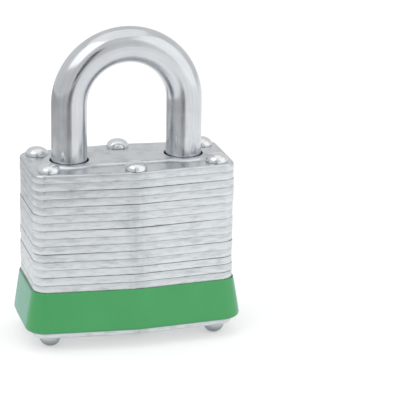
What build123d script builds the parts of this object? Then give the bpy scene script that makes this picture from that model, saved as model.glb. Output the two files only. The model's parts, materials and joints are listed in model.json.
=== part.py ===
from build123d import *
import math
import os

os.makedirs("parts", exist_ok=True)

# Case: a riveted stack of stamped steel plates, ridged at front and back
body_w = 40.0
body_d_mid = 20.0
body_d_side = 16.7
corner_r = 2.5
ridge_r = 8.0
plate_t = 1.5875
plate_count = 20
bottom_t = 1.5
foot_h = 2.3
edge_roll = 0.2
cut_over = 1.0
cap_roll = 0.5
stack_bottom = foot_h
cap_top = stack_bottom + bottom_t + plate_count * plate_t

# Shackle
rod_r = 3.5
leg_gap = 15.9
leg_x = leg_gap / 2 + rod_r
loop_clear = 19.3
toe_depth = 7.75
travel = 8.7
bore_clear = 0.32
bore_r = rod_r + bore_clear
arch_z = cap_top + loop_clear + rod_r - leg_x
toe_plates = 5
heel_end_below_groove = 1.95
leg_bevel = 0.5

# Raised land round the two shackle holes
land_h = 0.45
land_waist_in = 1.0
land_waist_r = 3.0
land_roll = 0.3
land_gap = 0.35

# Rivets, placed from the edges of the plates
rivet_r = 1.5
rivet_clear = 0.05
head_r = 2.2
head_h = 1.6
foot_r = 2.1
rivet_side = 3.35
rivet_front = 2.6
pivot_front = 2.3
pivot_plates = 5
flare_h = 0.8
flare_r = 1.9
corner_x = body_w / 2 - rivet_side
corner_y = body_d_side / 2 - rivet_front
pivot_y = body_d_mid / 2 - pivot_front
land_r = math.hypot(corner_x - leg_x, corner_y) - head_r - land_gap
land_half = land_r - land_waist_in

# Lever chamber: two plates deep, the third and the fourth from the top
lever_plates = (3, 4)
chamber_wall = 2.0
chamber_into_bore = 0.55
chamber_r = 1.0
lever_play = 0.14
lever_swing = 13.0
notch_flat = 1.8
nose_gap = 0.2
nose_w = 1.6
nose_low = 0.9
nose_len = 1.9
arm_w = 2.4
arm_slant = 0.5
arm_back = 3.0
arm_front = 2.5
tail_w = 2.05
tail_back = 1.6
tail_front = 1.5
boss_half = 2.6
boss_lean = 0.3
boss_low = 0.4
boss_high = 2.3
notch_play = 0.15
cam_long = 3.05
cam_short = 1.85
cam_tail_deg = -49.0
cam_gap = 0.3
leaf_t = 0.3
leaf_fit = 0.05
leaf_root = 7.3
leaf_bend = 3.7
leaf_tip = 4.5
leaf_rise = 3.8
leaf_bend_r = 0.6
chamber_x = leg_x - bore_r + chamber_into_bore + chamber_r / 2
chamber_y = body_d_mid / 2 - chamber_wall
nose_reach = notch_flat + nose_gap

# Lock cylinder
plug_r = 4.5
plug_fit = 0.05
plug_inset = 0.45
plug_bevel = 0.3
plug_head = 1.0
plug_head_room = 0.5
shell_wall = 1.7
bible_half = 2.4
bible_depth = 3.9
shell_fit = 0.05
face_gap = 0.25
clip_t = 0.8
clip_rim = 0.9
clip_bite = 1.3
clip_play = 0.05
clip_snap = 0.3
keyway_len = 20.0
key_half = 1.1
key_low = -3.7
key_top = 2.0
ward_in = 0.65
ward_h = 1.6
ward_right = -1.6
shaft_r = 1.6
shaft_gap = 0.4
tail_r = 1.2
tail_flat = 0.75
shell_r = plug_r + shell_wall
bible_y = plug_r + bible_depth
plug_face_z = stack_bottom + plug_inset
face_hole_r = plug_r + face_gap
clip_r = plug_r + clip_rim
clip_groove_r = plug_r - clip_bite
shaft_hole_r = shaft_r + shaft_gap
plug_top_z = cap_top - pivot_plates * plate_t - plug_head_room
shell_top = plug_top_z - plug_head - clip_t - 2 * clip_play
shell_bottom = stack_bottom + bottom_t
shell_len = shell_top - shell_bottom

# Pin stacks
pin_count = 4
pin_pitch = 3.6
pin_first = 4.9
pin_r = 1.3
pin_fit = 0.05
pin_floor = 0.0
pin_tip = 0.5
shear_under = 0.25
shear_over = 0.12
driver_len = 1.6
key_pin_ends = (0.9, 0.35, 1.2, 0.6)
cover_t = 0.4
cover_half = 1.6
pin_coil_r = 0.85
pin_wire_r = 0.14
pin_turns = 3

# Spring under the heel
spring_r = 2.6
wire_r = 0.35
spring_turns = 5
heel_plates = 14

# Vinyl bumper: height above the bottom of the stack and growth beyond the plates
bumper_drop = 23.7
bumper_lift = 1.25
bumper_top = cap_top - bumper_drop
bumper_bottom = stack_bottom + bumper_lift
bumper_rise = bumper_top - bumper_bottom
bumper_profile = (
    (0.0, 0.7),
    (0.03, 1.15),
    (0.08, 1.48),
    (0.14, 1.62),
    (0.55, 1.02),
    (0.97, 0.42),
    (1.0, 0.28),
)

lever_top = cap_top - (lever_plates[0] - 1) * plate_t
lever_floor = cap_top - lever_plates[1] * plate_t
lever_z0 = lever_floor + lever_play
lever_h = lever_top - lever_floor - 2 * lever_play
notch_z0 = lever_floor - notch_play
notch_z1 = lever_top + notch_play
toe_end = cap_top - toe_depth
groove_z0 = notch_z0 - travel
groove_z1 = notch_z1 - travel
heel_end = groove_z0 - heel_end_below_groove
shear_in = plug_r - shear_under
shear_out = plug_r + shear_over
corner_points = [(sx * corner_x, sy * corner_y) for sx in (-1, 1) for sy in (-1, 1)]
pivot_points = [(0, -pivot_y), (0, pivot_y)]
pin_heights = [shell_bottom + pin_first + k * pin_pitch for k in range(pin_count)]


def plate_bottom(index):
    return cap_top - index * plate_t


def outline(grow=0.0):
    """Plate outline seen from above, grown evenly by the given amount."""
    half = body_w / 2 + grow
    slope = (body_d_mid - body_d_side) / body_w
    mid = body_d_mid / 2 + grow * math.hypot(1, slope)
    side = mid - slope * half
    points = [(half, -side), (half, side), (0, mid), (-half, side), (-half, -side), (0, -mid)]
    face = Polygon(*points, align=None)
    face = fillet(face.vertices().filter_by(lambda v: abs(v.X) > half / 2), corner_r + grow)
    return fillet(face.vertices().filter_by(lambda v: abs(v.X) < half / 100), ridge_r + grow)


def discs(points, radius):
    return [Pos(x, y) * Circle(radius) for x, y in points]


def shell_outline(grow=0.0):
    block_y = bible_y + grow
    block = Pos(0, block_y / 2) * Rectangle(2 * (bible_half + grow), block_y)
    return Circle(shell_r + grow) + block


def lever_window():
    room = Rectangle(2 * chamber_x, 2 * chamber_y)
    return fillet(room.vertices(), chamber_r)


def plate_sketch(index):
    """Outline of one plate of the stack with the holes that its place asks for."""
    cuts = discs(corner_points, rivet_r + rivet_clear)
    if index <= toe_plates:
        cuts += discs([(-leg_x, 0)], bore_r)
    if index <= heel_plates:
        cuts += discs([(leg_x, 0)], bore_r)
    if index <= pivot_plates:
        cuts += discs(pivot_points, rivet_r + rivet_clear)
    if index in lever_plates:
        cuts.append(lever_window())
    elif index == pivot_plates:
        cuts.append(Circle(shaft_hole_r))
    elif index > pivot_plates:
        cuts.append(shell_outline(shell_fit))
    return outline() - cuts


def roll_edge(plate, size):
    rim = plate.faces().sort_by(Axis.Z)[-1].outer_wire().edges()
    return chamfer(rim, size)


def lamination(index):
    plate = extrude(plate_sketch(index), plate_t)
    plate = roll_edge(plate, edge_roll)
    plate = Pos(0, 0, plate_bottom(index)) * plate
    if index == pivot_plates:
        for x, y in pivot_points:
            plate -= Pos(x, y, plate_bottom(index)) * flare(rivet_clear)
    return plate


def flare(grow=0.0):
    """Countersunk tail of a pivot rivet, widest at its lower face."""
    cone = Cone(flare_r + grow, rivet_r + grow, flare_h)
    return Pos(0, 0, flare_h / 2) * cone


def top_plate():
    """Cap plate with the raised land that stiffens the shackle holes."""
    cap = extrude(plate_sketch(1), plate_t)
    cap = fillet(cap.faces().sort_by(Axis.Z)[-1].outer_wire().edges(), cap_roll)
    land = Rectangle(2 * leg_x, 2 * land_half) + discs([(-leg_x, 0), (leg_x, 0)], land_r)
    waist = land.vertices().filter_by(lambda v: abs(v.X) < leg_x)
    land = extrude(fillet(waist, land_waist_r), land_h)
    land = chamfer(land.faces().sort_by(Axis.Z)[-1].edges(), land_roll)
    for sx in (-1, 1):
        land -= Pos(sx * leg_x, 0) * Cylinder(bore_r, 4 * land_h)
    return Pos(0, 0, plate_bottom(1)) * (cap + Pos(0, 0, plate_t) * land)


def bottom_plate():
    sketch = outline() - discs(corner_points, rivet_r + rivet_clear) - Circle(face_hole_r)
    plate = extrude(sketch, bottom_t)
    rim = plate.faces().sort_by(Axis.Z)[0].outer_wire().edges()
    return Pos(0, 0, stack_bottom) * chamfer(rim, 2 * edge_roll)


def dome(radius, height):
    """Rivet head: a ball segment that stands on the plane below it."""
    ball_r = (radius ** 2 + height ** 2) / (2 * height)
    ball = Pos(0, 0, height - ball_r) * Sphere(ball_r)
    keep = Pos(0, 0, height / 2) * Box(4 * radius, 4 * radius, height)
    return ball & keep


def shank(z0, z1):
    return Pos(0, 0, (z0 + z1) / 2) * Cylinder(rivet_r, z1 - z0)


def corner_rivet_solid():
    top = Pos(0, 0, cap_top) * dome(head_r, head_h)
    foot = Pos(0, 0, stack_bottom) * Rot(180, 0, 0) * dome(foot_r, foot_h)
    return top + shank(stack_bottom, cap_top) + foot


def pivot_rivet_solid():
    low = plate_bottom(pivot_plates)
    top = Pos(0, 0, cap_top) * dome(head_r, head_h)
    return top + shank(low, cap_top) + Pos(0, 0, low) * flare()


def bumper():
    """Stretched vinyl sleeve that flares towards the foot and turns in below."""
    rings = []
    for share, grow in bumper_profile:
        rings.append(Pos(0, 0, bumper_bottom + share * bumper_rise) * outline(grow))
    sleeve = loft(rings, ruled=True)
    core = Pos(0, 0, bumper_bottom - cut_over) * extrude(outline(), bumper_rise + 2 * cut_over)
    return sleeve - core


def leg(x, end):
    bar = Pos(x, 0, (end + arch_z) / 2) * Cylinder(rod_r, arch_z - end)
    return chamfer(bar.edges().sort_by(Axis.Z)[0], leg_bevel)


def shackle():
    """Bent rod, flat locking notches on both legs and a neck on the heel leg."""
    bow = Pos(0, 0, arch_z) * Rot(90, 0, 0) * Torus(leg_x, rod_r)
    bow &= Pos(0, 0, arch_z + leg_x) * Box(4 * leg_x, 4 * rod_r, 2 * leg_x)
    bar = bow + leg(-leg_x, toe_end) + leg(leg_x, heel_end)
    notch_mid = (notch_z0 + notch_z1) / 2
    for sx in (-1, 1):
        cut_x = sx * (leg_x - notch_flat - rod_r)
        bar -= Pos(cut_x, 0, notch_mid) * Box(2 * rod_r, 4 * rod_r, notch_z1 - notch_z0)
    neck = Cylinder(2 * rod_r, groove_z1 - groove_z0) - Cylinder(notch_flat, 2 * travel)
    return bar - Pos(leg_x, 0, (groove_z0 + groove_z1) / 2) * neck


def coil(radius, wire, turns, length):
    """Wound wire standing on Z = 0, its full height equal to the given length."""
    rise = length - 2 * wire
    path = Helix(rise / turns, rise, radius)
    section = Plane(path @ 0, z_dir=path % 0) * RegularPolygon(wire, 6)
    return Pos(0, 0, wire) * sweep(section, path=path, is_frenet=True)


def shackle_spring():
    seat = plate_bottom(heel_plates)
    return Pos(leg_x, 0, seat) * coil(spring_r, wire_r, spring_turns, heel_end - seat)


def turned(point, pivot, degrees):
    a = math.radians(degrees)
    dx = point[0] - pivot[0]
    dy = point[1] - pivot[1]
    x = pivot[0] + dx * math.cos(a) - dy * math.sin(a)
    y = pivot[1] + dx * math.sin(a) + dy * math.cos(a)
    return (x, y)


def along(normal_deg, out, side):
    """Point at a distance out along a direction and side to the left of it."""
    a = math.radians(normal_deg)
    x = out * math.cos(a) - side * math.sin(a)
    y = out * math.sin(a) + side * math.cos(a)
    return (x, y)


def lever():
    """Left lever, drawn back: nose to the left leg, tail against the cam."""
    pivot = pivot_points[0]
    arm_deg = cam_tail_deg - 90
    tip_x = -leg_x + nose_reach
    arm_in = cam_long + 2 * cam_gap
    arm_out = arm_in + arm_w
    nose_top = nose_w - nose_low
    nose = [(tip_x, -nose_low), (tip_x, nose_top), (tip_x + nose_len, nose_top)]
    inner = [along(arm_deg, arm_in, -arm_back), along(arm_deg, arm_in, arm_front)]
    outer = [along(arm_deg, arm_out, arm_back), along(arm_deg, arm_out, -arm_back - arm_slant)]
    tail_in = cam_long + cam_gap
    tail = [along(cam_tail_deg, tail_in, -tail_back), along(cam_tail_deg, tail_in, tail_front)]
    tail.append(along(cam_tail_deg, tail_in + tail_w, tail_front))
    tail += [(boss_half + boss_lean, boss_high - pivot_y), (boss_half, boss_low - pivot_y)]
    points = [turned(p, pivot, -lever_swing) for p in nose + inner]
    points += tail
    points += [turned(p, pivot, -lever_swing) for p in outer]
    blank = make_face(Polyline(*points, close=True))
    blank -= Pos(*pivot) * Circle(rivet_r + plug_fit)
    return Pos(0, 0, lever_z0) * extrude(blank, lever_h)


def cam():
    """Two-lobed cam on the flatted tail of the plug."""
    lobes = Rot(0, 0, cam_tail_deg) * Ellipse(cam_long, cam_short)
    return Pos(0, 0, lever_z0) * extrude(lobes - tail_sketch(pin_fit), lever_h)


def tail_sketch(grow=0.0):
    flat = Pos(0, tail_flat + grow + tail_r) * Rectangle(4 * tail_r, 2 * tail_r)
    return Circle(tail_r + grow) - flat


def leaf_spring():
    wall = -chamber_y + leaf_t / 2 + leaf_fit
    tip = (leaf_tip, wall + leaf_rise)
    path = FilletPolyline((leaf_root, wall), (leaf_bend, wall), tip, radius=leaf_bend_r)
    strip = trace(path, line_width=leaf_t)
    return Pos(0, 0, lever_z0) * extrude(strip, lever_h)


def keyway():
    """Slot with a ward on each side, seen from above."""
    slot = Pos(0, (key_top + key_low) / 2) * Rectangle(2 * key_half, key_top - key_low)
    ward = Rectangle(2 * ward_in, ward_h)
    right = Pos(key_half, ward_right) * ward
    left = Pos(-key_half, key_top - ward_h / 2) * ward
    return slot - right - left


def pin_bore(z, y0, y1, radius):
    return Pos(0, (y0 + y1) / 2, z) * Rot(90, 0, 0) * Cylinder(radius, y1 - y0)


def plug():
    """Turning core with keyway, pin holes, clip groove, shaft and flatted tail."""
    core = Pos(0, 0, plug_face_z) * extrude(Circle(plug_r), plug_top_z - plug_face_z)
    core = chamfer(core.edges().sort_by(Axis.Z)[0], plug_bevel)
    core -= Pos(0, 0, plug_face_z - cut_over) * extrude(keyway(), keyway_len + cut_over)
    for z in pin_heights:
        core -= pin_bore(z, pin_floor, plug_r + cut_over, pin_r + pin_fit)
    groove = Circle(2 * plug_r) - Circle(clip_groove_r)
    core -= Pos(0, 0, shell_top) * extrude(groove, clip_t + 2 * clip_play)
    shaft = Pos(0, 0, plug_top_z) * extrude(Circle(shaft_r), lever_z0 - plug_top_z)
    tail = Pos(0, 0, lever_z0) * extrude(tail_sketch(), lever_h)
    return core + shaft + tail


def clip():
    ring = Circle(clip_r) - Circle(clip_groove_r + clip_play)
    ring -= Pos(0, -clip_r) * Rectangle(2 * (clip_groove_r - clip_snap), 2 * clip_r)
    return Pos(0, 0, shell_top + clip_play) * extrude(ring, clip_t)


def cylinder_shell():
    """Housing with the pin block at the back, bored for the plug."""
    body = extrude(shell_outline() - Circle(plug_r + plug_fit), shell_len)
    body = Pos(0, 0, shell_bottom) * body
    for z in pin_heights:
        body -= pin_bore(z, plug_r - cut_over, bible_y + cut_over, pin_r + pin_fit)
    return body - cover_block(pin_fit)


def cover_block(grow=0.0):
    low = pin_heights[0] - 2 * pin_r - grow
    high = pin_heights[-1] + 2 * pin_r + grow
    width = 2 * (cover_half + grow)
    middle = Pos(0, bible_y - cover_t / 2, (low + high) / 2)
    return middle * Box(width, cover_t, high - low)


def key_pin(z, end):
    pin = pin_bore(z, end, shear_in, pin_r)
    return chamfer(pin.edges().sort_by(Axis.Y)[0], pin_tip)


def driver_pin(z):
    return pin_bore(z, shear_out, shear_out + driver_len, pin_r)


def pin_spring(z):
    start = shear_out + driver_len
    length = bible_y - cover_t - start
    return Pos(0, start, z) * Rot(-90, 0, 0) * coil(pin_coil_r, pin_wire_r, pin_turns, length)


def save(name, shape):
    export_step(shape, "parts/" + name + ".step")


def group(solids):
    return Compound(children=solids)


save("top_plate", top_plate())
for number in range(2, plate_count + 1):
    save("lamination_%02d" % number, lamination(number))
save("bottom_plate", bottom_plate())
save("corner_rivets", group([Pos(x, y, 0) * corner_rivet_solid() for x, y in corner_points]))
save("lever_pivot_rivets", group([Pos(x, y, 0) * pivot_rivet_solid() for x, y in pivot_points]))
save("bumper", bumper())
save("shackle", shackle())
save("shackle_spring", shackle_spring())
save("left_lever", lever())
save("right_lever", Rot(0, 0, 180) * lever())
save("lever_springs", group([leaf_spring(), Rot(0, 0, 180) * leaf_spring()]))
save("cam", cam())
save("plug", plug())
save("plug_clip", clip())
save("cylinder_shell", cylinder_shell())
save("chamber_cover", cover_block())
save("key_pins", group([key_pin(z, end) for z, end in zip(pin_heights, key_pin_ends)]))
save("driver_pins", group([driver_pin(z) for z in pin_heights]))
save("pin_springs", group([pin_spring(z) for z in pin_heights]))
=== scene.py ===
# %% [markdown]
# # A laminated padlock
# The body of this lock is a pile of stamped steel plates, riveted together, with a bent rod for a shackle
# and a soft vinyl bumper stretched round the foot. The solids come from CAD. This script dresses them:
# it makes finer meshes for what shows, gives every part a finish, and sets up a small photo studio.

# %% Load the frame
import json
import math
import random
import bmesh
import bpy
from mathutils import Matrix, Vector


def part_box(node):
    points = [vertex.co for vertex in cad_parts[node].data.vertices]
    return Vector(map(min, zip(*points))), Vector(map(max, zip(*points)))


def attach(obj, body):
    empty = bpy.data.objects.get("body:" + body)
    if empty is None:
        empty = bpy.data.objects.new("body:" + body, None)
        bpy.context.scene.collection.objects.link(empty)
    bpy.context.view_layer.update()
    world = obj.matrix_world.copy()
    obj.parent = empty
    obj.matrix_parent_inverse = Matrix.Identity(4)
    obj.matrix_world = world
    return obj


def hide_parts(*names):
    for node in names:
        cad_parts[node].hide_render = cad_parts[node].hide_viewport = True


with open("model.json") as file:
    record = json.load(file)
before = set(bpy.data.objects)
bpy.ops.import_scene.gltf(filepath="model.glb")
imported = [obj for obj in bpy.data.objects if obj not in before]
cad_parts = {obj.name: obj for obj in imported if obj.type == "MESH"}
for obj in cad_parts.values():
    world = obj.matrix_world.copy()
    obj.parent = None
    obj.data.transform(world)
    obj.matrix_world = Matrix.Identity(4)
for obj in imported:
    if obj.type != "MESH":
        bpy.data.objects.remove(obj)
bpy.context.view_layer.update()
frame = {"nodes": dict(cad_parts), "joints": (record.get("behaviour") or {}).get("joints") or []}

# %% [markdown]
# ## Sizes
# Blender works in metres here, and a lock is easier to think about in millimetres, so every size below is in
# millimetres and a mesh is scaled once, when it is finished. Only what a box can't tell is written down.

# %% Sizes in millimetres
MM = 0.001
PER_MM = 1 / MM


def extent(node):
    low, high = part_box(node)
    return [v / MM for v in low], [v / MM for v in high]


plate_low, plate_high = extent("lamination_10")
body_w = plate_high[0] - plate_low[0]
plate_t = plate_high[2] - plate_low[2]
body_d_mid = 20.0
body_d_side = 16.7
corner_r = 2.5
ridge_r = 8.0
cap_bottom = extent("lamination_02")[1][2]
cap_top = cap_bottom + plate_t
land_h = extent("top_plate")[1][2] - cap_top
stack_bottom = extent("bottom_plate")[0][2]

shackle_low, shackle_high = extent("shackle")
rod_r = (shackle_high[1] - shackle_low[1]) / 2
leg_x = shackle_high[0] - rod_r
bore_clear = 0.32
bore_r = rod_r + bore_clear

rivet_x = 16.65
rivet_y = 5.75
pivot_y = 7.7
rivet_r = 1.5
rivet_clear = 0.05
hole_r = rivet_r + rivet_clear
head_r = extent("corner_rivets")[1][0] - rivet_x
head_h = extent("corner_rivets")[1][2] - cap_top
foot_r = 2.1
print("cap at", round(cap_top, 3), "rod radius", round(rod_r, 3), "rivet head", round(head_r, 3))

# %% [markdown]
# ## Camera
# The picture is taken a little from the left and from above, with a long lens. The angles were found by
# fitting plate lines, rivets and shackle legs. A camera is just a matrix: its columns are the directions
# right, up and back, and then its place. Building it by hand allows the slight roll of the picture.

# %% Camera
azimuth = math.radians(-15.78)
elevation = math.radians(18.03)
roll = math.radians(1.01)
distance = 413.05
aim_right = 14.49
aim_height = cap_top - 8.44
focal_px = 2100.0
picture_px = 400

flat_out = math.cos(elevation)
back = Vector((math.sin(azimuth) * flat_out, -math.cos(azimuth) * flat_out, math.sin(elevation)))
level = Vector((math.cos(azimuth), math.sin(azimuth), 0))
rise = back.cross(level)
right = level * math.cos(roll) + rise * math.sin(roll)
up = rise * math.cos(roll) - level * math.sin(roll)
place = (level * aim_right + Vector((0, 0, aim_height)) + back * distance) * MM

camera_data = bpy.data.cameras.new("camera")
camera_data.sensor_width = 36
camera_data.lens = focal_px / picture_px * camera_data.sensor_width
camera_data.clip_start = 0.01
camera = bpy.data.objects.new("camera", camera_data)
camera.matrix_world = Matrix.Translation(place) @ Matrix((right, up, back)).transposed().to_4x4()
bpy.context.collection.objects.link(camera)
bpy.context.scene.camera = camera
bpy.context.scene.view_settings.view_transform = "Standard"
print("lens", round(camera_data.lens, 1), "mm at", [round(v, 4) for v in place])

# %% [markdown]
# ## Tools for materials
# Colours are picked as sRGB hex values, the way a screen shows them, while shaders count in linear light.
# One function converts. Another adds a node, sets its values and links its inputs in one call, which keeps
# each material short enough to read from top to bottom. One habit runs through all of them: the roughness of
# a finish varies, but stays on one side of about 0.27. There the denoiser of Cycles changes the way it reads
# a surface, and a finish that crosses that value comes out with dark ticks.

# %% Colour and node helpers


def linear(hex_code):
    values = [int(hex_code[i:i + 2], 16) / 255 for i in (1, 3, 5)]
    return [v / 12.92 if v <= 0.04045 else ((v + 0.055) / 1.055) ** 2.4 for v in values] + [1.0]


def add(tree, kind, inputs=None, **settings):
    node = tree.nodes.new(kind)
    for name, value in settings.items():
        setattr(node, name, value)
    for name, value in (inputs or {}).items():
        if isinstance(value, bpy.types.Node):
            value = next(socket for socket in value.outputs if socket.enabled)
        if isinstance(value, bpy.types.NodeSocket):
            tree.links.new(value, node.inputs[name])
        else:
            node.inputs[name].default_value = value
    return node


def new_material(name):
    material = bpy.data.materials.new(name)
    material.use_nodes = True
    material.node_tree.nodes.clear()
    return material, material.node_tree


print("white is", linear("#FFFFFF"))

# %% [markdown]
# ## Where a point lies in the pile
# The plates are blanked from strip, and a blanked edge has two bands: the punch burnishes the upper part
# smooth, and the lower part tears and stays pale and rough, with a wandering line between them. Grey oil
# gathers along the seams, and the ridge at the middle is worn. All of this depends on the place of a point in
# the pile, so small functions find it: which plate, how high in that plate, and whether on an edge or on a
# flat face, which the surface normal tells. Pattern sizes are marks per millimetre.

# %% Bands and dirt on the plate edges


def pile_place(tree, height):
    depth = add(tree, "ShaderNodeMath", {0: height, 1: cap_top}, operation="SUBTRACT")
    depth = add(tree, "ShaderNodeMath", {0: depth, 1: plate_t}, operation="DIVIDE")
    layer = add(tree, "ShaderNodeMath", {0: depth}, operation="FLOOR")
    within = add(tree, "ShaderNodeMath", {0: depth}, operation="FRACT")
    return layer, within


def edge_only(tree, normal):
    facing = add(tree, "ShaderNodeSeparateXYZ", {0: normal})
    upright = add(tree, "ShaderNodeMath", {0: facing.outputs["Z"]}, operation="ABSOLUTE")
    return add(tree, "ShaderNodeMapRange", {"Value": upright, "From Min": 0.4, "From Max": 0.9,
                                            "To Min": 1.0, "To Max": 0.0})


def torn_band(tree, spot, layer, within):
    flat_map = add(tree, "ShaderNodeMapping", {"Vector": spot, "Scale": (0.4, 0.4, 0.0)})
    wander = add(tree, "ShaderNodeTexNoise", {"Vector": flat_map, "W": layer, "Scale": 1.0, "Detail": 4.0},
                 noise_dimensions="4D")
    torn = add(tree, "ShaderNodeMath", {0: wander, 1: within}, operation="SUBTRACT")
    return add(tree, "ShaderNodeMapRange", {"Value": torn, "From Min": -0.1, "From Max": 0.12})


def ridge_wear(tree, across):
    off_mid = add(tree, "ShaderNodeMath", {0: across}, operation="ABSOLUTE")
    return add(tree, "ShaderNodeMapRange", {"Value": off_mid, "From Max": 3.0, "To Min": 0.45, "To Max": 0.0})


def seam_oil(tree, within):
    off_mid = add(tree, "ShaderNodeMath", {0: within, 1: 0.5}, operation="SUBTRACT")
    off_mid = add(tree, "ShaderNodeMath", {0: off_mid}, operation="ABSOLUTE")
    return add(tree, "ShaderNodeMapRange", {"Value": off_mid, "From Min": 0.44, "From Max": 0.5})


print("plates of", round(plate_t, 4), "mm are counted down from", round(cap_top, 3), "mm")

# %% [markdown]
# ## Zinc plated steel
# After blanking, the plates are tumbled in a drum and bright zinc plated. That gives a pale, satin metal with
# short streaks of grain along each plate and cloudy smears, more on one plate than on the next. The true
# grain is finer than a pixel and is drawn coarser here. The bands and the dirt of the edges are laid over it.

# %% Zinc plated steel


def plated_steel():
    material, tree = new_material("zinc_plated_steel")
    coords = add(tree, "ShaderNodeTexCoord")
    spot = add(tree, "ShaderNodeMapping", {"Vector": coords.outputs["Object"], "Scale": [PER_MM] * 3})
    axes = add(tree, "ShaderNodeSeparateXYZ", {0: spot})
    layer, within = pile_place(tree, axes.outputs["Z"])
    edge = edge_only(tree, coords.outputs["Normal"])
    torn = torn_band(tree, spot, layer, within)
    torn = add(tree, "ShaderNodeMath", {0: torn, 1: edge}, operation="MULTIPLY")

    shade = add(tree, "ShaderNodeTexWhiteNoise", {"W": layer}, noise_dimensions="1D")
    grain_map = add(tree, "ShaderNodeMapping", {"Vector": spot, "Scale": (0.4, 0.4, 2.4)})
    grain = add(tree, "ShaderNodeTexNoise", {"Vector": grain_map, "Scale": 1.0, "Detail": 4.0})
    drag_map = add(tree, "ShaderNodeMapping", {"Vector": spot, "Scale": (1.6, 1.6, 0.3)})
    drag = add(tree, "ShaderNodeTexNoise", {"Vector": drag_map, "Scale": 1.0, "Detail": 3.0})
    smear_map = add(tree, "ShaderNodeMapping", {"Vector": spot, "Scale": (0.22, 0.22, 0.6)})
    smear = add(tree, "ShaderNodeTexNoise", {"Vector": smear_map, "Detail": 6.0, "Scale": 1.0,
                                             "Roughness": 0.62})

    ridge = ridge_wear(tree, axes.outputs["X"])
    ridge = add(tree, "ShaderNodeMath", {0: ridge, 1: drag}, operation="MULTIPLY")
    seam = seam_oil(tree, within)
    seam = add(tree, "ShaderNodeMath", {0: seam, 1: smear}, operation="MULTIPLY")
    edge_dirt = add(tree, "ShaderNodeMath", {0: ridge, 1: seam}, operation="ADD")
    edge_dirt = add(tree, "ShaderNodeMath", {0: edge_dirt, 1: edge}, operation="MULTIPLY")
    streaks = add(tree, "ShaderNodeMapRange", {"Value": grain, "From Min": 0.48, "From Max": 0.72,
                                               "To Max": 0.36})
    streaks = add(tree, "ShaderNodeMath", {0: streaks, 1: edge_dirt}, operation="ADD")
    oil = add(tree, "ShaderNodeMapRange", {"Value": smear, "From Min": 0.54, "From Max": 0.76, "To Max": 0.5})
    dirt = add(tree, "ShaderNodeMath", {0: oil, 1: streaks}, operation="ADD", use_clamp=True)

    colour = add(tree, "ShaderNodeMix", {0: shade, 6: linear("#C9CED1"), 7: linear("#D4D8DB")},
                 data_type="RGBA")
    colour = add(tree, "ShaderNodeMix", {0: torn, 6: colour, 7: linear("#DCE0E2")}, data_type="RGBA")
    colour = add(tree, "ShaderNodeMix", {0: dirt, 6: colour, 7: linear("#969B9F")}, data_type="RGBA")
    rough = add(tree, "ShaderNodeMath", {0: torn, 1: drag}, operation="ADD")
    rough = add(tree, "ShaderNodeMapRange", {"Value": rough, "From Min": 0.3, "From Max": 1.5,
                                             "To Min": 0.28, "To Max": 0.46})
    relief = add(tree, "ShaderNodeMath", {0: grain, 1: drag}, operation="ADD")
    marks = add(tree, "ShaderNodeBump", {"Height": relief, "Strength": 0.45, "Distance": 0.03 * MM})
    metal = add(tree, "ShaderNodeBsdfPrincipled", {"Base Color": colour, "Metallic": 1.0,
                                                   "Roughness": rough, "Normal": marks})
    add(tree, "ShaderNodeOutputMaterial", {"Surface": metal})
    return material


zinc = plated_steel()
print("made", zinc.name)

# %% [markdown]
# ## Peened rivet steel
# Rivets are the same plated steel, but the heads are hammered and then polished by the drum, so they shine
# more than the plates and show shallow dents a millimetre or two wide. The feet are painted darker
# downwards: a painted shade for the shadow where they stand on the table.

# %% Peened rivet steel


def peened_steel():
    material, tree = new_material("peened_rivet_steel")
    spot = add(tree, "ShaderNodeTexCoord").outputs["Object"]
    dents = add(tree, "ShaderNodeTexNoise", {"Vector": spot, "Scale": 0.7 * PER_MM, "Detail": 1.0})
    scuff = add(tree, "ShaderNodeTexNoise", {"Vector": spot, "Scale": 2.5 * PER_MM, "Detail": 4.0})
    height = add(tree, "ShaderNodeSeparateXYZ", {0: spot}).outputs["Z"]
    # Painted shade: below the plates, the feet darken towards the table as if in the shadow where they stand.
    painted_foot_shade = add(tree, "ShaderNodeMapRange", {"Value": height, "From Min": 0.2 * MM,
                                             "From Max": stack_bottom * MM, "To Min": 1.0, "To Max": 0.25})
    low = add(tree, "ShaderNodeMath", {0: height, 1: cap_bottom * MM}, operation="LESS_THAN")
    painted_foot_shade = add(tree, "ShaderNodeMath", {0: painted_foot_shade, 1: low}, operation="MULTIPLY")
    bright = add(tree, "ShaderNodeMix", {0: scuff, 6: linear("#D0D4D7"), 7: linear("#E4E7E9")},
                 data_type="RGBA")
    # The dark grey is the painted shade on the feet.
    colour = add(tree, "ShaderNodeMix", {0: painted_foot_shade, 6: bright, 7: linear("#777B7F")}, data_type="RGBA")
    rough = add(tree, "ShaderNodeMapRange", {"Value": scuff, "From Min": 0.3, "From Max": 0.7,
                                             "To Min": 0.2, "To Max": 0.27})
    marks = add(tree, "ShaderNodeBump", {"Height": dents, "Strength": 0.4, "Distance": 0.25 * MM})
    metal = add(tree, "ShaderNodeBsdfPrincipled", {"Base Color": colour, "Metallic": 1.0,
                                                   "Roughness": rough, "Normal": marks})
    add(tree, "ShaderNodeOutputMaterial", {"Surface": metal})
    return material


rivet_steel = peened_steel()
print("made", rivet_steel.name)

# %% [markdown]
# ## Nickel plated rod
# The shackle is drawn rod, bent, hardened and nickel plated. It is smoother and darker than the plates, so it
# mirrors the studio as bright and dark bands along its length. Drawing leaves fine lines along the rod, made
# here about 0.4 mm wide and 14 mm long, which is coarser than real, so that they show. They follow the bend
# because the pattern is read from the attribute "straight": where a point lay before bending, in millimetres.

# %% Nickel plated rod


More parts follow.
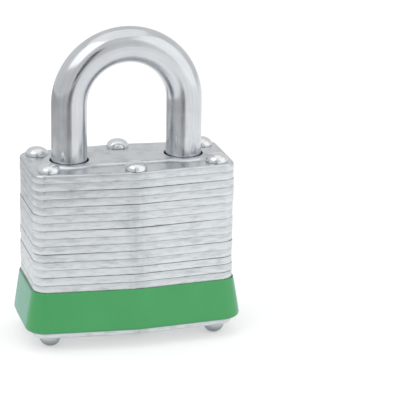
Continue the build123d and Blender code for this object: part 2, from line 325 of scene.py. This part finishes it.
def nickel_rod():
    material, tree = new_material("nickel_plated_rod")
    straight = add(tree, "ShaderNodeAttribute", attribute_name="straight").outputs["Vector"]
    fine = add(tree, "ShaderNodeMapping", {"Vector": straight, "Scale": (2.4, 2.4, 0.07)})
    lines = add(tree, "ShaderNodeTexNoise", {"Vector": fine, "Scale": 1.0, "Detail": 4.0, "Roughness": 0.6})
    cloud = add(tree, "ShaderNodeTexNoise", {"Vector": straight, "Scale": 0.22, "Detail": 5.0})
    rough = add(tree, "ShaderNodeMapRange", {"Value": cloud, "From Min": 0.3, "From Max": 0.7,
                                             "To Min": 0.14, "To Max": 0.25})
    tone = add(tree, "ShaderNodeMath", {0: lines, 1: cloud}, operation="MULTIPLY")
    tone = add(tree, "ShaderNodeMapRange", {"Value": tone, "From Min": 0.12, "From Max": 0.4})
    colour = add(tree, "ShaderNodeMix", {0: tone, 6: linear("#C2C5C9"), 7: linear("#D3D6D9")},
                 data_type="RGBA")
    marks = add(tree, "ShaderNodeBump", {"Height": lines, "Strength": 0.22, "Distance": 0.03 * MM})
    metal = add(tree, "ShaderNodeBsdfPrincipled", {"Base Color": colour, "Metallic": 1.0,
                                                   "Roughness": rough, "Normal": marks})
    add(tree, "ShaderNodeOutputMaterial", {"Surface": metal})
    return material


nickel = nickel_rod()
print("made", nickel.name)

# %% [markdown]
# ## Moulded vinyl
# Soft PVC, dip moulded in a strong green. It has an even colour and a wide soft gloss, and at grazing angles
# it picks up the white of the room and the faint bloom that soft vinyl gets, which is what Sheen is for here.
# A fine orange peel, about a third of a millimetre, breaks up the highlight.

# %% Moulded vinyl


def moulded_vinyl():
    material, tree = new_material("moulded_vinyl")
    spot = add(tree, "ShaderNodeTexCoord").outputs["Object"]
    cloud = add(tree, "ShaderNodeTexNoise", {"Vector": spot, "Scale": 0.15 * PER_MM, "Detail": 4.0})
    peel = add(tree, "ShaderNodeTexNoise", {"Vector": spot, "Scale": 3.0 * PER_MM, "Detail": 2.0})
    colour = add(tree, "ShaderNodeMix", {0: cloud, 6: linear("#3DA05A"), 7: linear("#48AA63")},
                 data_type="RGBA")
    rough = add(tree, "ShaderNodeMapRange", {"Value": cloud, "From Min": 0.3, "From Max": 0.7,
                                             "To Min": 0.28, "To Max": 0.36})
    skin = add(tree, "ShaderNodeBump", {"Height": peel, "Strength": 0.03, "Distance": 0.05 * MM})
    plastic = add(tree, "ShaderNodeBsdfPrincipled", {"Base Color": colour, "Roughness": rough, "IOR": 1.54,
                                                     "Sheen Weight": 0.7, "Sheen Roughness": 0.35,
                                                     "Sheen Tint": linear("#C0D0FF"),
                                                     "Normal": skin})
    add(tree, "ShaderNodeOutputMaterial", {"Surface": plastic})
    return material


vinyl = moulded_vinyl()
print("made", vinyl.name)

# %% [markdown]
# ## Turned brass and hardened steel
# The cylinder, its plug and pins are turned brass, with rings left by the tool round the plug's axis. Real
# rings are finer. These are half a millimetre apart, so that they show. Levers, cam, clip and springs are
# hardened steel, darker and browner, dull with oil. These parts keep their CAD meshes and only get a finish,
# since they show through the small window in the foot or not at all.

# %% Turned brass and hardened steel


def turned_brass():
    material, tree = new_material("turned_brass")
    spot = add(tree, "ShaderNodeTexCoord").outputs["Object"]
    rings = add(tree, "ShaderNodeTexWave", {"Vector": spot, "Scale": 0.6 * PER_MM, "Distortion": 0.6},
                wave_type="RINGS", rings_direction="Z")
    patch = add(tree, "ShaderNodeTexNoise", {"Vector": spot, "Scale": 0.5 * PER_MM, "Detail": 4.0})
    colour = add(tree, "ShaderNodeMix", {0: patch, 6: linear("#B08A4E"), 7: linear("#CDA869")},
                 data_type="RGBA")
    rough = add(tree, "ShaderNodeMapRange", {"Value": patch, "From Min": 0.3, "From Max": 0.7,
                                             "To Min": 0.28, "To Max": 0.42})
    marks = add(tree, "ShaderNodeBump", {"Height": rings.outputs["Fac"], "Strength": 0.15,
                                         "Distance": 0.02 * MM})
    metal = add(tree, "ShaderNodeBsdfPrincipled", {"Base Color": colour, "Metallic": 1.0,
                                                   "Roughness": rough, "Normal": marks})
    add(tree, "ShaderNodeOutputMaterial", {"Surface": metal})
    return material


def hardened_steel():
    material, tree = new_material("hardened_steel")
    spot = add(tree, "ShaderNodeTexCoord").outputs["Object"]
    patch = add(tree, "ShaderNodeTexNoise", {"Vector": spot, "Scale": 0.8 * PER_MM, "Detail": 4.0})
    colour = add(tree, "ShaderNodeMix", {0: patch, 6: linear("#6A6866"), 7: linear("#85827E")},
                 data_type="RGBA")
    rough = add(tree, "ShaderNodeMapRange", {"Value": patch, "From Min": 0.3, "From Max": 0.7,
                                             "To Min": 0.32, "To Max": 0.5})
    metal = add(tree, "ShaderNodeBsdfPrincipled", {"Base Color": colour, "Metallic": 1.0, "Roughness": rough})
    add(tree, "ShaderNodeOutputMaterial", {"Surface": metal})
    return material


inside = {
    turned_brass(): ["plug", "cylinder_shell", "chamber_cover", "key_pins", "driver_pins"],
    hardened_steel(): ["left_lever", "right_lever", "cam", "plug_clip", "lever_springs", "shackle_spring",
                       "pin_springs"],
}
for material, names in inside.items():
    for name in names:
        frame["nodes"][name].material_slots[0].material = material
    print(material.name, "on", len(names), "nodes")

# %% [markdown]
# ## Tools for meshes
# A plate, the bumper and a rivet are all the same kind of thing: an outline that is repeated at several
# heights, a little larger or smaller each time, and joined up. So there is one function that rounds the
# corners of an outline, one that stacks loops into walls, and one that fills a flat face with holes in it.
# Every mesh is then shaded smooth up to a crease angle, with weighted normals, so that its flat faces stay
# flat and mirror the room without a bend.

# %% Mesh helpers


def arc(centre, radius, start, end, steps):
    angles = [math.radians(start + (end - start) * k / steps) for k in range(steps + 1)]
    return [(centre[0] + radius * math.cos(a), centre[1] + radius * math.sin(a)) for a in angles]


def circle(x, y, radius, steps):
    return arc((x, y), radius, 0, 360, steps)[:-1]


def rounded(corners, radii, steps):
    points = []
    for i, radius in enumerate(radii):
        corner = Vector(corners[i])
        before = (Vector(corners[i - 1]) - corner).normalized()
        after = (Vector(corners[(i + 1) % len(corners)]) - corner).normalized()
        half = before.angle(after) / 2
        centre = corner + (before + after).normalized() * (radius / math.sin(half))
        spread = 90 - math.degrees(half)
        facing = math.degrees(math.atan2(corner.y - centre.y, corner.x - centre.x))
        points += arc(centre, radius, facing - spread, facing + spread, steps[i])
    return points


corner_steps = 12
ridge_steps = 6


def plate_outline(grow=0.0):
    half = body_w / 2 + grow
    slope = (body_d_mid - body_d_side) / body_w
    mid = body_d_mid / 2 + grow * math.hypot(1, slope)
    side = mid - slope * half
    corners = [(half, -side), (half, side), (0, mid), (-half, side), (-half, -side), (0, -mid)]
    tight = corner_r + grow
    wide = ridge_r + grow
    return rounded(corners, [tight, tight, wide] * 2, [corner_steps, corner_steps, ridge_steps] * 2)


def loop(bm, points, z):
    return [bm.verts.new((x, y, z)) for x, y in points]


def wall(bm, loops):
    for low, high in zip(loops, loops[1:]):
        for i in range(len(low)):
            j = (i + 1) % len(low)
            bm.faces.new([low[i], low[j], high[j], high[i]])


def flat(bm, loops):
    edges = []
    for verts in loops:
        for i, vert in enumerate(verts):
            pair = (vert, verts[(i + 1) % len(verts)])
            edges.append(bm.edges.get(pair) or bm.edges.new(pair))
    bmesh.ops.triangle_fill(bm, use_beauty=True, edges=edges)


def mesh_object(name, bm):
    bmesh.ops.recalc_face_normals(bm, faces=bm.faces)
    bmesh.ops.scale(bm, vec=(MM, MM, MM), verts=bm.verts)
    mesh = bpy.data.meshes.new(name)
    bm.to_mesh(mesh)
    bm.free()
    obj = bpy.data.objects.new(name, mesh)
    bpy.context.collection.objects.link(obj)
    return obj


def dress(obj, material, body, node, crease=40):
    obj.data.shade_smooth()
    obj.data.set_sharp_from_angle(angle=math.radians(crease))
    flats = obj.modifiers.new("flat_faces", "WEIGHTED_NORMAL")
    flats.keep_sharp = True
    obj.data.materials.clear()
    obj.data.materials.append(material)
    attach(obj, body)
    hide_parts(node)
    return obj


print("plate outline has", len(plate_outline()), "points")

# %% [markdown]
# ## Holes in the plates
# Each plate is blanked with the holes that its place in the pile asks for: bores for the legs, the room where
# the levers swing, the keyhole shaped window round the cylinder, and small holes for rivets. Most of that
# is out of sight, but the bores show once the shackle is lifted.

# %% Hole outlines
pile_plates = 20
toe_plates = 5
heel_plates = 14
lever_plates = (3, 4)
room_into_bore = 1.05
room_wall = 2.0
room_x = leg_x - bore_r + room_into_bore
room_y = body_d_mid / 2 - room_wall
shell_r = 6.25
block_x = 2.45
block_y = 8.45
shaft_hole_r = 2.0
bore_sides = 48
hole_sides = 20


def half_turn(points):
    return [(-x, -y) for x, y in points]


def lever_window():
    cut = math.degrees(math.acos((leg_x - room_x) / bore_r))
    bump = math.degrees(math.asin((room_y - pivot_y) / hole_r))
    side = arc((leg_x, 0), bore_r, cut - 180, 180 - cut, steps=40)
    rear = arc((0, pivot_y), hole_r, bump, 180 - bump, steps=12)
    half_loop = side + [(room_x, room_y)] + rear + [(-room_x, room_y)]
    return half_loop + half_turn(half_loop)


def cylinder_window():
    start = math.degrees(math.acos(block_x / shell_r))
    round_part = arc((0, 0), shell_r, 180 - start, 360 + start, steps=48)
    return [(block_x, block_y), (-block_x, block_y)] + round_part


def corner_holes():
    return [circle(sx * rivet_x, sy * rivet_y, hole_r, hole_sides) for sx in (-1, 1) for sy in (-1, 1)]


def pivot_holes():
    return [circle(0, sy * pivot_y, hole_r, hole_sides) for sy in (-1, 1)]


def plate_holes(number):
    holes = corner_holes()
    if number in lever_plates:
        return holes + [lever_window()]
    if number <= toe_plates:
        holes += pivot_holes() + [circle(-leg_x, 0, bore_r, bore_sides)]
    if number <= heel_plates:
        holes.append(circle(leg_x, 0, bore_r, bore_sides))
    if number == toe_plates:
        holes.append(circle(0, 0, shaft_hole_r, steps=24))
    if number > toe_plates:
        holes.append(cylinder_window())
    return holes


print("holes in plates 2, 3 and 10:", [len(plate_holes(n)) for n in (2, 3, 10)])

# %% [markdown]
# ## The plates
# A blanking press pulls the upper edge of a plate round and leaves the lower one crisp. That is why a pile of
# plates shows as bands with a dark line between them. Every plate gets its own roll, a hair of shift and
# turn, and a gap that opens and closes along its length, from a seeded generator so that each run is the
# same.

# %% Plates
slip_x = 0.08
slip_y = 0.07
twist_degrees = 0.15
gap_least = 0.01
gap_spread = 0.13
gap_wave = (0.08, 0.2)
pull_in = (0.02, 0.12)
pull_down = (0.06, 0.3)
crisp = 0.06
roll_steps = 4
quarter = [math.radians(90 * k / roll_steps) for k in range(roll_steps + 1)]
hair = random.Random(40)


def low_edge(z, inset, height):
    return [(z + height * (1 - math.cos(a)), inset * (1 - math.sin(a))) for a in quarter]


def high_edge(z, inset, height):
    return [(z - height * (1 - math.sin(a)), inset * (1 - math.cos(a))) for a in quarter]


def nudge(points, shift, turn):
    c = math.cos(turn)
    s = math.sin(turn)
    return [(x * c - y * s + shift[0], x * s + y * c + shift[1]) for x, y in points]


def plate(number):
    name = "lamination_%02d" % number
    low, high = extent(name)
    shift = (hair.uniform(-slip_x, slip_x), hair.uniform(-slip_y, slip_y))
    turn = math.radians(hair.uniform(-twist_degrees, twist_degrees))
    gap = gap_least + gap_spread * hair.random() ** 2
    phase = hair.uniform(0, 2 * math.pi)
    wave = hair.uniform(*gap_wave)
    bm = bmesh.new()
    rings = []
    pulled = high_edge(high[2], hair.uniform(*pull_in), hair.uniform(*pull_down))
    for z, inset in low_edge(low[2], crisp, crisp) + pulled:
        rings.append(loop(bm, nudge(plate_outline(-inset), shift, turn), z))
    for ring in rings[len(quarter):]:
        for vert in ring:
            vert.co.z -= gap * (0.5 + 0.5 * math.sin(vert.co.x * wave + phase))
    wall(bm, rings)
    holes = plate_holes(number)
    bottoms = [loop(bm, hole, low[2]) for hole in holes]
    tops = [loop(bm, hole, high[2] - gap / 2) for hole in holes]
    for bottom, top in zip(bottoms, tops):
        wall(bm, [bottom, top])
    flat(bm, [rings[0]] + bottoms)
    flat(bm, [rings[-1]] + tops)
    return dress(mesh_object("plate_%02d" % number, bm), zinc, "case", name)


plates = [plate(number) for number in range(2, pile_plates + 1)]
print("made", len(plates), "plates of", len(plates[0].data.polygons), "faces")

# %% [markdown]
# ## The cap plate
# The top plate has a fuller rolled edge and a land pressed up round the two shackle holes. The land is
# shaped like a bone: round ends about the holes, and a waist between the rivets at the middle. It is made as
# a second outline standing on the first, with a rounded shoulder, and bores with a broken edge.

# %% Cap plate
cap_roll = 0.5
land_gap = 0.35
land_waist_in = 1.0
land_waist_r = 3.0
land_r = math.hypot(rivet_x - leg_x, rivet_y) - head_r - land_gap
land_half = land_r - land_waist_in
# Share of the land's height, and how far the outline stands out or the mouth opens there.
shoulder = [(0.0, 0.36), (0.1, 0.17), (0.35, 0.03), (0.65, -0.08), (0.9, -0.22), (1.0, -0.42)]
bore_rim = [(0.4, 0.0), (0.75, 0.05), (0.93, 0.12), (1.0, 0.24)]


def land_outline(grow):
    end_r = land_r + grow
    half = land_half + grow
    waist_r = land_waist_r - grow
    waist_y = half + waist_r
    reach = math.sqrt((end_r + waist_r) ** 2 - waist_y ** 2)
    waist_x = leg_x - reach
    lean = math.degrees(math.atan2(waist_y, reach))
    front = arc((waist_x, -waist_y), waist_r, 90, lean, steps=8)[:-1]
    end = arc((leg_x, 0), end_r, lean - 180, 180 - lean, steps=36)
    rear = arc((waist_x, waist_y), waist_r, -lean, -90, steps=8)[1:]
    half_loop = front + end + rear
    return half_loop + half_turn(half_loop)


def cap_plate():
    bm = bmesh.new()
    profile = low_edge(cap_bottom, crisp, crisp) + high_edge(cap_top, cap_roll, cap_roll)
    rings = [loop(bm, plate_outline(-inset), z) for z, inset in profile]
    wall(bm, rings)
    land = [loop(bm, land_outline(grow), cap_top + share * land_h) for share, grow in shoulder]
    wall(bm, land)
    small = corner_holes() + pivot_holes()
    bottoms = [loop(bm, hole, cap_bottom) for hole in small]
    tops = [loop(bm, hole, cap_top) for hole in small]
    for bottom, top in zip(bottoms, tops):
        wall(bm, [bottom, top])
    mouths = []
    for sx in (-1, 1):
        rim = [loop(bm, circle(sx * leg_x, 0, bore_r, bore_sides), cap_bottom)]
        for share, grow in bore_rim:
            mouth = circle(sx * leg_x, 0, bore_r + grow, bore_sides)
            rim.append(loop(bm, mouth, cap_top + share * land_h))
        wall(bm, rim)
        bottoms.append(rim[0])
        mouths.append(rim[-1])
    flat(bm, [rings[0]] + bottoms)
    flat(bm, [rings[-1], land[0]] + tops)
    flat(bm, [land[-1]] + mouths)
    return dress(mesh_object("cap_plate", bm), zinc, "case", "top_plate")


cap = cap_plate()
print("cap plate has", len(cap.data.polygons), "faces")

# %% [markdown]
# ## The bottom plate
# It has one round window, through which the face of the plug shows. Its rolled edge looks down, towards the
# outside, so the fuller edge is at the bottom here.

# %% Bottom plate
foot_roll = 0.4
window_r = 4.75
window_sides = 48
# Height above the underside, and how far the window opens there.
window_rim = [(0.0, 0.25), (0.07, 0.07), (0.25, 0.0)]


def bottom_plate():
    low, high = extent("bottom_plate")
    bm = bmesh.new()
    profile = low_edge(low[2], foot_roll, foot_roll) + high_edge(high[2], crisp, crisp)
    rings = [loop(bm, plate_outline(-inset), z) for z, inset in profile]
    wall(bm, rings)
    bottoms = [loop(bm, hole, low[2]) for hole in corner_holes()]
    tops = [loop(bm, hole, high[2]) for hole in corner_holes()]
    for bottom, top in zip(bottoms, tops):
        wall(bm, [bottom, top])
    window = []
    for z, grow in window_rim:
        window.append(loop(bm, circle(0, 0, window_r + grow, window_sides), low[2] + z))
    window.append(loop(bm, circle(0, 0, window_r, window_sides), high[2]))
    wall(bm, window)
    flat(bm, [rings[0], window[0]] + bottoms)
    flat(bm, [rings[-1], window[-1]] + tops)
    return dress(mesh_object("foot_plate", bm), zinc, "case", "bottom_plate")


foot = bottom_plate()
print("foot plate has", len(foot.data.polygons), "faces")

# %% [markdown]
# ## Rivets
# A rivet head is a turned form, so it is a profile spun round an axis. Heads are peened cold: a dome that is
# a little flat on top, a tight rounded foot, and no two alike, so each is squeezed, turned and tipped
# slightly.

# %% Rivets
head_sides = 40
head_steps = 12
head_rim = 0.1
rim_round = (0.02, 0.04)
dome_out = 0.92
dome_up = 0.85
squeeze_most = 0.03
tip_range = (0.02, 0.07)


def head_profile(radius, height):
    profile = [(radius - head_rim, 0.0), (radius - rim_round[0], rim_round[1])]
    for k in range(1, head_steps):
        a = math.radians(90 * k / head_steps)
        dome_h = (height - head_rim) * math.sin(a) ** dome_up
        profile.append((radius * math.cos(a) ** dome_out, head_rim + dome_h))
    return profile


def turned_head(bm, x, y, z, radius, height, way):
    squeeze = 1 + hair.uniform(-squeeze_most, squeeze_most)
    turn = hair.uniform(0, math.pi)
    lean = hair.uniform(*tip_range)
    loops = []
    for ring_r, ring_z in head_profile(radius, height):
        off = lean * ring_z
        points = [(px * squeeze + off, py / squeeze) for px, py in circle(0, 0, ring_r, head_sides)]
        loops.append(loop(bm, nudge(points, (x, y), turn), z + way * ring_z))
    wall(bm, loops)
    tip = bm.verts.new((x, y, z + way * height))
    for i, vert in enumerate(loops[-1]):
        bm.faces.new([vert, loops[-1][(i + 1) % head_sides], tip])
    return loops[0]


def shank(bm, x, y, low, high):
    loops = [loop(bm, circle(x, y, rivet_r, head_sides), z) for z in (low, high)]
    wall(bm, loops)
    return loops


def corner_rivets():
    bm = bmesh.new()
    for x, y in ((sx * rivet_x, sy * rivet_y) for sx in (-1, 1) for sy in (-1, 1)):
        low, high = shank(bm, x, y, stack_bottom, cap_top)
        flat(bm, [high, turned_head(bm, x, y, cap_top, head_r, head_h, 1)])
        flat(bm, [low, turned_head(bm, x, y, stack_bottom, foot_r, stack_bottom, -1)])
    return dress(mesh_object("rivets_corner", bm), rivet_steel, "case", "corner_rivets")


def pivot_rivets():
    bm = bmesh.new()
    for y in (-pivot_y, pivot_y):
        low, high = shank(bm, 0, y, extent("lever_pivot_rivets")[0][2], cap_top)
        flat(bm, [high, turned_head(bm, 0, y, cap_top, head_r, head_h, 1)])
        flat(bm, [low])
    return dress(mesh_object("rivets_pivot", bm), rivet_steel, "case", "lever_pivot_rivets")


rivets = [corner_rivets(), pivot_rivets()]
print("rivets have", [len(obj.data.polygons) for obj in rivets], "faces")

# %% [markdown]
# ## The bumper
# Vinyl stretched over the plates clings at its thin upper lip and flares out towards the foot, where it turns
# in with a soft round. It is the plate outline again, grown by a different amount at each height. Where it
# flares, the two corners at the back pull tight and the flats beside them bow a little. The inside wall
# follows the plates, so the sleeve is a closed shell of true thickness.

# %% Bumper
bumper_low, bumper_high = extent("bumper")
sleeve_h = bumper_high[2] - bumper_low[2]
flare = bumper_high[0] - body_w / 2
curl_share = 0.1
curl_grow = 0.3
lip_share = 0.96
lip_grow = 0.4
inside_grow = 0.03
# Share of the sleeve's height, and how far the outline is grown there.
lip = [(0.985, 0.36), (1.0, 0.27), (0.99, 0.17), (0.95, inside_grow)]
slope_bend = 1.08
curl_steps = 8
slope_steps = 8
corner_pull = 0.6
bow_steps = 8
long_run = 5.0


def bumper_profile():
    profile = [(0.0, inside_grow)]
    for k in range(curl_steps + 1):
        a = math.radians(90 * (1 - k / curl_steps))
        profile.append((curl_share * (1 - math.sin(a)), curl_grow + (flare - curl_grow) * math.cos(a)))
    for k in range(1, slope_steps + 1):
        t = k / slope_steps
        grow = flare + (lip_grow - flare) * t ** slope_bend
        profile.append((curl_share + (lip_share - curl_share) * t, grow))
    return profile + lip


def bowed(points, pull):
    wide = max(x for x, y in points)
    deep = max(y for x, y in points)
    path = []
    for i, point in enumerate(points):
        start = Vector(point)
        run = Vector(points[(i + 1) % len(points)]) - start
        steps = bow_steps if run.length > long_run else 1
        for k in range(steps):
            spot = start + run * (k / steps)
            inward = pull * (spot.x / wide * max(spot.y, 0) / deep) ** 2
            path.append((spot.x - math.copysign(inward, spot.x), spot.y - math.copysign(inward, spot.y)))
    return path


def bumper_sleeve():
    bm = bmesh.new()
    rings = []
    for share, grow in bumper_profile():
        outline = bowed(plate_outline(grow), corner_pull * grow / flare)
        rings.append(loop(bm, outline, bumper_low[2] + share * sleeve_h))
    wall(bm, rings + [rings[0]])
    return dress(mesh_object("vinyl_bumper", bm), vinyl, "case", "bumper", crease=60)


bumper = bumper_sleeve()
print("bumper has", len(bumper.data.polygons), "faces")

# %% [markdown]
# ## The shackle
# A bent rod is a ring carried along a path: up one leg, round the arch and down the other. Each point also
# remembers where it lay on the straight rod, for the finish. Notches for the levers and the neck of the heel
# leg are cut with boolean modifiers, which are then applied, so that the result is one plain mesh. The cuts
# leave slivers where they meet the sides of the rod, so points closer than the weld distance are joined.

# %% Shackle
rod_sides = 64
arch_steps = 96
toe_depth = 7.75
toe_end = cap_top - toe_depth
heel_end = shackle_low[2]
arch_z = shackle_high[2] - rod_r - leg_x
# Distance up from the end of a leg, and how far the rod is grown there.
bevel = [(0.0, -0.5), (0.15, -0.15), (0.5, 0.0)]
notch_flat = 1.8
notch_play = 0.15
notch_low = extent("lamination_04")[0][2] - notch_play
notch_high = extent("lamination_03")[1][2] + notch_play
travel = frame["joints"][0]["range_m"][1] / MM
weld = 0.002


def rod_path():
    stations = []
    for z, grow in bevel:
        stations.append((Vector((-leg_x, 0, toe_end + z)), Vector((1, 0, 0)), toe_end + z - arch_z, grow))
    for k in range(arch_steps + 1):
        a = math.pi * (1 - k / arch_steps)
        spoke = Vector((math.cos(a), 0, math.sin(a)))
        stations.append((Vector((0, 0, arch_z)) + spoke * leg_x, -spoke, leg_x * (math.pi - a), 0.0))
    far = leg_x * math.pi + arch_z
    for z, grow in reversed(bevel):
        stations.append((Vector((leg_x, 0, heel_end + z)), Vector((-1, 0, 0)), far - heel_end - z, grow))
    return stations


def bent_rod():
    bm = bmesh.new()
    straight = bm.verts.layers.float_vector.new("straight")
    rings = []
    for centre, inward, length, grow in rod_path():
        ring = []
        for px, py in circle(0, 0, rod_r + grow, rod_sides):
            vert = bm.verts.new(centre + inward * px + Vector((0, py, 0)))
            vert[straight] = (px, py, length)
            ring.append(vert)
        rings.append(ring)
    wall(bm, rings)
    flat(bm, [rings[0]])
    flat(bm, [rings[-1]])
    return mesh_object("shackle_rod", bm)


def notch_cutter(sx):
    bm = bmesh.new()
    near = sx * (leg_x - notch_flat)
    far = sx * (leg_x - 2 * rod_r)
    wide = 2 * rod_r
    loops = []
    for z in (notch_low, notch_high):
        loops.append(loop(bm, [(near, -wide), (far, -wide), (far, wide), (near, wide)], z))
    wall(bm, loops)
    flat(bm, [loops[0]])
    flat(bm, [loops[1]])
    return mesh_object("notch_cutter", bm)


def neck_cutter():
    bm = bmesh.new()
    wide = 2 * rod_r
    section = [(notch_flat, notch_low), (wide, notch_low), (wide, notch_high), (notch_flat, notch_high)]
    loops = [loop(bm, circle(leg_x, 0, radius, rod_sides), z - travel) for radius, z in section]
    wall(bm, loops + [loops[0]])
    return mesh_object("neck_cutter", bm)


def carve(obj, cutters):
    for tool in cutters:
        cut = obj.modifiers.new(tool.name, "BOOLEAN")
        cut.object = tool
        cut.solver = "EXACT"
    bpy.context.view_layer.update()
    solid = obj.evaluated_get(bpy.context.evaluated_depsgraph_get())
    obj.data = bpy.data.meshes.new_from_object(solid)
    obj.modifiers.clear()
    bm = bmesh.new()
    bm.from_mesh(obj.data)
    bmesh.ops.remove_doubles(bm, verts=bm.verts, dist=weld * MM)
    bmesh.ops.dissolve_degenerate(bm, edges=bm.edges, dist=weld * MM)
    bm.to_mesh(obj.data)
    bm.free()
    for tool in cutters:
        bpy.data.objects.remove(tool)
    return obj


shackle = carve(bent_rod(), [notch_cutter(-1), notch_cutter(1), neck_cutter()])
dress(shackle, nickel, "shackle_bar", "shackle", crease=35)
print("shackle has", len(shackle.data.polygons), "faces")

# %% [markdown]
# ## Studio
# Polished metal shows its surroundings more than itself, so the studio is planned by what the lock mirrors: a
# pale room and a white table. The table also glows a little to the camera and in reflections, so that it
# reads as white and still keeps a shadow. Round metal needs something dark to mirror, too. A grey board, a
# darker one and a dark strip lie on the table, in front of the lock and to its left, and a dark board stands
# near the camera. Only reflections can see them, so they cast no shadow and take no light away.

# %% Floor, world and boards


def seen_by_eye(tree):
    path = add(tree, "ShaderNodeLightPath")
    seen = add(tree, "ShaderNodeMath", {0: path.outputs["Is Camera Ray"], 1: path.outputs["Is Glossy Ray"]},
               operation="MAXIMUM")
    return add(tree, "ShaderNodeMath", {0: seen, 1: path.outputs["Is Transmission Ray"]}, operation="MAXIMUM")


def paper_material(name, hex_code, glow=0.0):
    material, tree = new_material(name)
    paper = add(tree, "ShaderNodeBsdfDiffuse", {"Color": linear(hex_code)})
    lift = add(tree, "ShaderNodeMath", {0: seen_by_eye(tree), 1: glow}, operation="MULTIPLY")
    shine = add(tree, "ShaderNodeEmission", {"Color": linear("#FFFFFF"), "Strength": lift})
    both = add(tree, "ShaderNodeAddShader", {0: paper, 1: shine})
    add(tree, "ShaderNodeOutputMaterial", {"Surface": both})
    return material


def sheet(name, corners, material):
    mesh = bpy.data.meshes.new(name)
    mesh.from_pydata([Vector(corner) * MM for corner in corners], [], [range(len(corners))])
    mesh.materials.append(material)
    obj = bpy.data.objects.new(name, mesh)
    bpy.context.collection.objects.link(obj)
    return obj


def board(name, corners, material):
    obj = sheet(name, corners, material)
    obj.visible_camera = False
    obj.visible_diffuse = False
    obj.visible_shadow = False


def lying(corners, height):
    return [(x, y, height) for x, y in corners]


table_half = 2000
table_shape = [(-table_half, -table_half), (table_half, -table_half), (table_half, table_half),
               (-table_half, table_half)]
grey_shape = [(0, -600), (0, -110), (-56, -97), (-100, -60), (-120, 20), (-115, 75), (-75, 92), (-56, 58),
              (-40, 36), (-40, 500), (-700, 500), (-700, -600)]
mid_shape = [(-5, -100), (-55, -86), (-150, -280), (-5, -280)]
strip_shape = [(-36, -147), (-50, -147), (-145, -400), (-55, -400)]
dark_shape = [(-145, -400, 40), (-55, -400, 40), (-55, -400, 270), (-145, -400, 270)]

sheet("floor", lying(table_shape, 0), paper_material("floor_paper", "#D4D4D4", glow=0.43))
board("grey_board", lying(grey_shape, 2), paper_material("grey_paper", "#C0C0C0"))
board("mid_board", lying(mid_shape, 3), paper_material("mid_grey_paper", "#A8A8A8"))
dark_paper = paper_material("dark_paper", "#383838")
board("dark_board", dark_shape, dark_paper)
board("dark_strip", lying(strip_shape, 4), dark_paper)

world = bpy.data.worlds.new("pale_room")
bpy.context.scene.world = world
world.use_nodes = True
world.node_tree.nodes.clear()
sky = add(world.node_tree, "ShaderNodeBackground", {"Color": linear("#E7E7E7"), "Strength": 1.0})
add(world.node_tree, "ShaderNodeOutputWorld", {"Surface": sky})
print("floor, boards and world ready")

# %% [markdown]
# ## Lamps
# One large soft light stands high on the left, one low and wide on the right, and a wide dim one hangs above.
# All are turned to the loop of the shackle, and the camera can't see them. The watts are small because the
# lamps stand only half a metre away.

# %% Lamps
lamp_aim = Vector((0, 0, 45))


def soft_light(name, place, size, watts):
    data = bpy.data.lights.new(name, "AREA")
    data.shape = "RECTANGLE"
    data.size = size[0] * MM
    data.size_y = size[1] * MM
    data.energy = watts
    light = bpy.data.objects.new(name, data)
    light.location = Vector(place) * MM
    light.rotation_euler = (lamp_aim - Vector(place)).to_track_quat("-Z", "Y").to_euler()
    light.visible_camera = False
    bpy.context.collection.objects.link(light)


soft_light("left_softbox", (-308, -131, 416), (430, 340), 0.42)
soft_light("right_softbox", (400, -245, 245), (540, 640), 0.52)
soft_light("overhead", (0, 0, 560), (600, 600), 0.42)
print("lamps ready")
